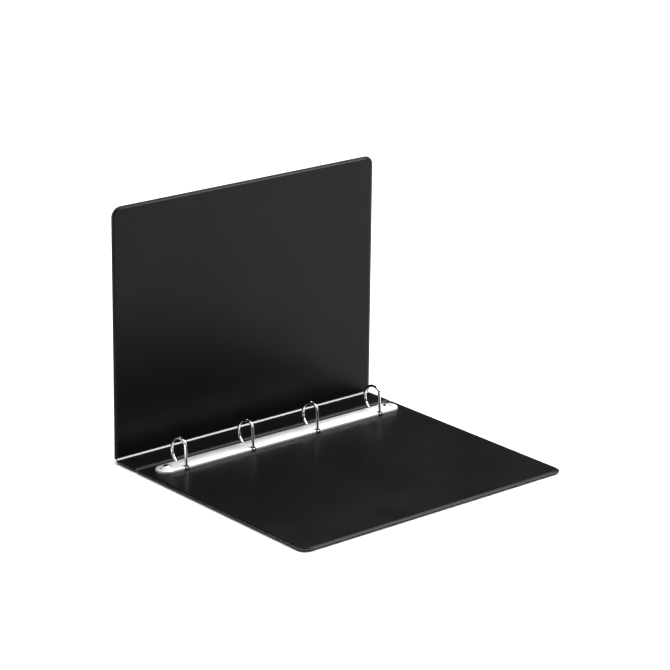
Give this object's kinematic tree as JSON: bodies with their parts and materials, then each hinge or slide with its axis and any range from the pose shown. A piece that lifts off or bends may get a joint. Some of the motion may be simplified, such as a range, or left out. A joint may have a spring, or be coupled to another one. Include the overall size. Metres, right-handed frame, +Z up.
{
  "type": "ring binder",
  "caption": "Ring binder standing open: board covers welded in black plastic with clear outer pockets, a folding spine, and D-shaped rings on a riveted, arched metal housing.",
  "frame": {"origin": "middle of the open binder's footprint, on the surface it stands on", "axes": "+X from the spine towards the back cover's free edge, +Y along the spine towards the top edge of the covers, +Z up; the front cover stands in the Y-Z plane"},
  "size_m": [0.2846, 0.317, 0.2508],
  "materials": {
    "board": "plain grey board, sealed inside the plastic",
    "black_plastic": "soft semi-gloss black film with a very fine grain",
    "clear_film": "clear, slightly hazy glossy film",
    "bright_nickel": "polished nickel plating",
    "plain_steel": "plain rolled steel"
  },
  "bodies": {
    "back_cover": {"back_board": "board", "back_inner_sheet": "black_plastic", "back_outer_sheet": "black_plastic", "back_clear_pocket": "clear_film", "ring_housing": "bright_nickel", "near_rivet": "bright_nickel", "far_rivet": "bright_nickel", "near_rivet_sleeve": "plain_steel", "far_rivet_sleeve": "plain_steel"},
    "spine": {"spine_board": "board", "spine_inner_sheet": "black_plastic", "spine_outer_sheet": "black_plastic", "spine_clear_pocket": "clear_film", "front_fold_web": "black_plastic", "back_fold_web": "black_plastic"},
    "front_cover": {"front_board": "board", "front_inner_sheet": "black_plastic", "front_outer_sheet": "black_plastic", "front_clear_pocket": "clear_film"},
    "spine_side_leaf": {"spine_side_leaf": "plain_steel", "curved_ring_1": "bright_nickel", "curved_ring_2": "bright_nickel", "curved_ring_3": "bright_nickel", "curved_ring_4": "bright_nickel"},
    "page_side_leaf": {"page_side_leaf": "plain_steel", "straight_ring_1": "bright_nickel", "straight_ring_2": "bright_nickel", "straight_ring_3": "bright_nickel", "straight_ring_4": "bright_nickel"}
  },
  "joints": [
    {"name": "back_fold", "type": "hinge", "parent": "back_cover", "child": "spine", "pos_m": [-0.1067, 0, 0.0018], "axis": [0, 1, 0], "range_deg": [0, 90]},
    {"name": "front_fold", "type": "hinge", "parent": "spine", "child": "front_cover", "pos_m": [-0.1405, 0, 0.0018], "axis": [0, -1, 0], "range_deg": [0, 90]},
    {"name": "ring_opening", "type": "hinge", "parent": "back_cover", "child": "spine_side_leaf", "pos_m": [-0.0952, 0, 0.0045], "axis": [0, -1, 0], "range_deg": [0, 8]},
    {"name": "page_side_opening", "type": "hinge", "parent": "back_cover", "child": "page_side_leaf", "pos_m": [-0.0792, 0, 0.0045], "axis": [0, -1, 0], "range_deg": [-8, 0]}
  ],
  "couplings": [
    {"joint": "page_side_opening", "follows": "ring_opening", "ratio": -1}
  ]
}
